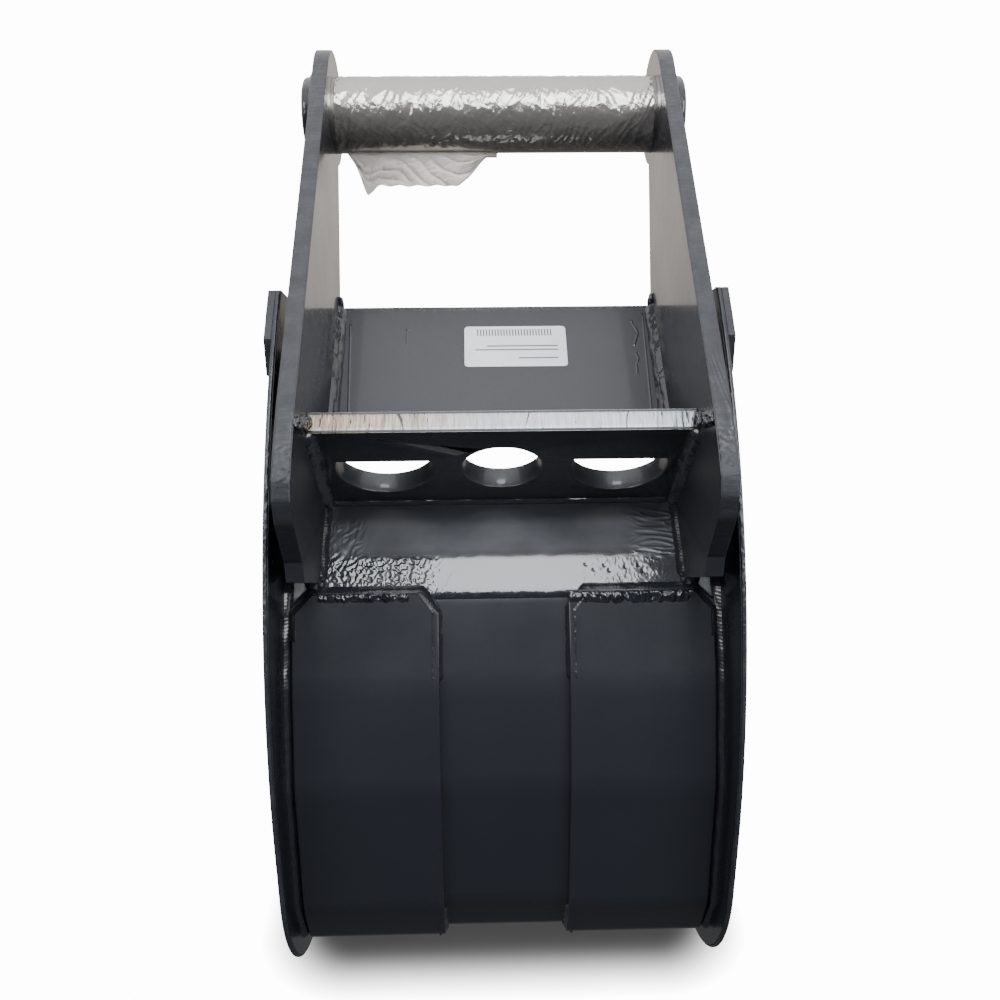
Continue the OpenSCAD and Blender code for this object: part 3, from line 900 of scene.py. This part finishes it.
def painted_shaft_ends():
    """The shaft's ends, rounded under thick paint."""
    proud, corner = 14.5 * MM, 4.5 * MM
    radius = SHAFT_R + 0.5 * MM
    for side, name in ((-1, "left"), (1, "right")):
        outline = [(radius, -1 * MM)] + [
            (radius - corner * (1 - math.cos(turn)), proud - corner * (1 - math.sin(turn)))
            for turn in (math.pi / 2 * i / 6 for i in range(7))] + [(0.0, proud)]
        outline.append((0.0, -1 * MM))
        bm = bmesh.new()
        spots = [bm.verts.new((side * (EAR_OUT + out), SHAFT_AT.y, SHAFT_AT.z + r)) for r, out in outline]
        rim = [bm.edges.new(pair) for pair in zip(spots, spots[1:] + spots[:1])]
        bmesh.ops.spin(bm, geom=spots + rim, cent=SHAFT_AT, axis=(1, 0, 0), angle=2 * math.pi, steps=120,
                       use_merge=True)
        bmesh.ops.remove_doubles(bm, verts=bm.verts, dist=JOIN)
        for vert in bm.verts:
            spoke = Vector((0, vert.co.y - SHAFT_AT.y, vert.co.z - SHAFT_AT.z))
            if spoke.length > 0.6 * radius:
                vert.co += spoke.normalized() * 0.5 * MM * noise.noise(vert.co * 160 + Vector((side, 0, 0)))
        finished("painted_shaft_end_" + name, bm, bead_paint)


painted_shaft_ends()


def shaft_film():
    """Clear film wound round the shaft, with a torn flap left hanging."""
    half, gap = 161 * MM, 0.5 * MM
    first_turn, turned = -62, 300  # degrees round the shaft
    columns, rows = 260, 150
    bm = bmesh.new()
    verts = bmesh.ops.create_grid(bm, x_segments=columns, y_segments=rows, size=1)["verts"]
    for vert in verts:
        x, v = vert.co.x * half, (vert.co.y + 1) / 2
        turn = math.radians(first_turn + turned * v)
        fold = ridges(x / MM, v * 190, 58, 7.0, 32, 11.0) + 0.7 * ridges(x / MM, v * 190, -38, 5.0, 18, 14.0)
        lift = gap + (0.6 * fold + 0.15 * hills(x * 90, v * 12, 4)) * MM
        spoke = Vector((0, -math.cos(turn), math.sin(turn)))
        vert.co = at_x(SHAFT_AT, x) + (SHAFT_R + lift) * spoke
    wrap = finished("shaft_film", bm, film, smooth=60)
    thicken(wrap)

    left, right, drop = -153 * MM, 3 * MM, 44 * MM
    bm = bmesh.new()
    verts = bmesh.ops.create_grid(bm, x_segments=150, y_segments=44, size=1)["verts"]
    for vert in verts:
        u, v = (vert.co.x + 1) / 2, (vert.co.y + 1) / 2
        x = left + u * (right - left)
        reach = drop * (0.76 + 0.24 * fade(-u, -0.22, -0.08)) * fade(-u, -1.0, -0.72) * fade(u, -0.06, 0.10)
        reach = max(6 * MM, reach + 1.5 * MM * hills(u * 16, 0, 6))
        sway = 5 * math.sin(7 * u + 1.2 * v) + 4 * hills(u * 6, v * 2, 1)
        crease = 1.6 * ridges(u * 156, v * 44, 28, 14, 50, 5.0)
        crease += 0.9 * ridges(u * 156, v * 44, -50, 9, 22, 8.0)
        side_in = 9 * MM * v * fade(-u, -0.2, 0.0)
        vert.co = Vector((x + side_in, SHAFT_AT.y - 12 * MM + (sway * v + crease * fade(v, 0.0, 0.3)) * MM,
                          SHAFT_AT.z - SHAFT_R * 0.955 - v * reach))
    flap = finished("torn_film_flap", bm, flap_film, smooth=60)
    thicken(flap)


def thicken(sheet):
    """Give a sheet of film its thickness."""
    body = sheet.modifiers.new("thickness", "SOLIDIFY")
    body.thickness = FILM_THICK
    body.offset = 0


shaft_film()


def blank_label():
    """A white label with rounded corners, carrying plain bars only."""
    centre_x, from_top = 18.6 * MM, 28.5 * MM
    width, length, corner = 104 * MM, 54 * MM, 4 * MM
    thick = 0.25 * MM
    origin = seat_top + seat_down * from_top + seat_out * 0.05 * MM

    def card(bm, x0, x1, d0, d1, lift, height, round_by=0.0):
        spots = [at_x(origin + seat_down * d + seat_out * lift, centre_x + x)
                 for x, d in ((x0, d0), (x1, d0), (x1, d1), (x0, d1))]
        face = bm.faces.new([bm.verts.new(spot) for spot in spots])
        if round_by:
            bmesh.ops.bevel(bm, geom=list(face.verts), offset=round_by, offset_type="OFFSET",
                            segments=6, profile=0.5, affect="VERTICES", material=-1)
            face = max(bm.faces, key=lambda found: found.calc_area())
        raised = bmesh.ops.extrude_face_region(bm, geom=[face])["geom"]
        bmesh.ops.translate(bm, verts=moved_verts(raised), vec=seat_out * height)

    bm = bmesh.new()
    card(bm, -width / 2, width / 2, 0, length, 0, thick, corner)
    finished("blank_label", bm, label_paper())
    bm = bmesh.new()
    bars, pitch = 26, 3.0 * MM
    for i in range(bars):
        x = (i - bars / 2) * pitch
        card(bm, x, x + 1.3 * MM, 4 * MM, 13 * MM, thick, PRINT_THICK)
    for d, reach in ((26, 72), (31, 84), (42, 40)):
        card(bm, (43 - reach) * MM, 43 * MM, d * MM, (d + 1.6) * MM, thick, PRINT_THICK)
    finished("label_plain_bars", bm, label_ink())


blank_label()


def studio_sky():
    """Soft studio sky, dim on the camera's side and darker towards the floor."""
    world = bpy.data.worlds.new("studio_sky")
    world.use_nodes = True
    made = Nodes(world.node_tree)
    way = made.add("ShaderNodeTexCoord").outputs["Generated"]
    height, depth = (made.math("MULTIPLY_ADD", made.axis(way, name), 0.5, 0.5) for name in "ZY")
    mouth_side = made.ramp(height, [
        (0.0, (0.016, 0.016, 0.017)), (0.25, (0.03, 0.03, 0.031)), (0.47, (0.20, 0.185, 0.17)),
        (0.60, (0.24, 0.225, 0.21)), (1.0, (0.45, 0.45, 0.46))])
    camera_side = made.ramp(height, [
        (0.0, (0.014, 0.015, 0.016)), (0.25, (0.02, 0.021, 0.024)), (0.55, (0.028, 0.029, 0.034)),
        (0.72, (0.022, 0.024, 0.029)), (0.90, (0.30, 0.31, 0.33)), (1.0, (0.45, 0.45, 0.46))])
    blend = made.ramp(depth, [(0.30, (0, 0, 0)), (0.55, (1, 1, 1))])
    background = made.tree.nodes["Background"]
    made.feed(made.mix(blend, camera_side, mouth_side), background.inputs["Color"])
    background.inputs["Strength"].default_value = SKY_STRENGTH
    bpy.context.scene.world = world


def floor_mesh(bm):
    bmesh.ops.create_grid(bm, x_segments=1, y_segments=1, size=12)


def surround_mesh(bm):
    bmesh.ops.create_uvsphere(bm, u_segments=48, v_segments=24, radius=11)
    bmesh.ops.reverse_faces(bm, faces=bm.faces)


def floor_glow_with_painted_shadow(made):
    """The floor's glow, with a painted shadow close to the bucket."""
    squares = []
    for name, middle, half in (("X", 0.0, 0.15), ("Y", -0.1, 0.195)):
        offset = made.math("ABSOLUTE", made.math("SUBTRACT", made.axis(made.place, name), middle))
        outside = made.math("MAXIMUM", made.math("SUBTRACT", offset, half), 0.0)
        squares.append(made.math("POWER", outside, 2.0))
    away = made.math("SQRT", made.math("ADD", *squares))
    # The glow falls to almost nothing by the bucket's footprint: a painted contact shadow.
    share = made.math("POWER", made.range(away, 0.0, 0.1), 5.5)
    return made.range(share, 0.0, 1.0, 0.07, BACKDROP_GLOW)


def backdrop(name, build, glow):
    """A pale surface that only the camera sees."""
    bm = bmesh.new()
    build(bm)
    mesh = bpy.data.meshes.new(name)
    bm.to_mesh(mesh)
    bm.free()
    held = bpy.data.objects.new(name, mesh)
    bpy.context.scene.collection.objects.link(held)
    made = Finish(name)
    made.set(Emission_Strength=glow(made), Base_Color=(0, 0, 0), Roughness=1.0, Emission_Color=(1, 1, 1))
    dress(held, made.material)
    held.visible_diffuse = False
    held.visible_glossy = False
    held.visible_shadow = False


def soft_light(name, place, aim, size, radiance, tint=(1, 1, 1)):
    """A rectangular lamp of an even radiance, turned to the place it aims at."""
    lamp = bpy.data.lights.new(name, "AREA")
    lamp.shape = "RECTANGLE"
    lamp.size, lamp.size_y = size
    lamp.energy = radiance * math.pi * size[0] * size[1]
    lamp.color = tint
    held = bpy.data.objects.new(name, lamp)
    held.location = place
    held.rotation_mode = "QUATERNION"
    held.rotation_quaternion = (Vector(aim) - Vector(place)).to_track_quat("-Z", "Y")
    bpy.context.scene.collection.objects.link(held)


def photo_camera():
    """The camera that stands as the photograph's did."""
    lens = bpy.data.cameras.new("photo_camera")
    lens.sensor_width = SENSOR_MM
    lens.lens = SENSOR_MM * FOCAL_PX / PHOTO_PX
    camera = bpy.data.objects.new("photo_camera", lens)
    camera.rotation_mode = "QUATERNION"
    turn = (Matrix.Rotation(math.radians(YAW), 4, "Z") @ Matrix.Rotation(math.radians(90 - PITCH), 4, "X")
            @ Matrix.Rotation(math.radians(-ROLL), 4, "Z"))
    camera.location = EYE
    camera.rotation_quaternion = turn.to_quaternion()
    bpy.context.scene.collection.objects.link(camera)
    bpy.context.scene.camera = camera


for name, piece in nodes.items():
    usual = edge_paint if name.startswith(FLAME_CUT_PLATES) else paint
    # The locking plate wears the grey with painted light on its underside.
    dress(piece, {"hitch_shaft": shaft_steel, "locking_plate": underside_painted_light}.get(name, usual))
    if not piece.hide_render:
        soften_edges(piece, 0.8 * MM)

studio_sky()
backdrop("studio_floor", floor_mesh, floor_glow_with_painted_shadow)
backdrop("studio_surround", surround_mesh, lambda made: BACKDROP_GLOW)
soft_light("sky_light", (0.10, -1.88, 2.74), (0.02, -0.3, 0.4), (0.95, 1.6), 11, (0.90, 0.95, 1.0))
soft_light("left_window", (-2.0, -2.2, 2.2), BUCKET_MIDDLE, (1.7, 1.5), 7)
soft_light("right_window", (2.0, -2.2, 2.0), BUCKET_MIDDLE, (1.7, 1.5), 8)
soft_light("left_wall", (-2.6, -0.3, 1.3), BUCKET_MIDDLE, (0.9, 1.0), 1.2)
soft_light("right_wall", (2.6, -0.3, 1.3), BUCKET_MIDDLE, (0.9, 1.0), 1.2)
photo_camera()
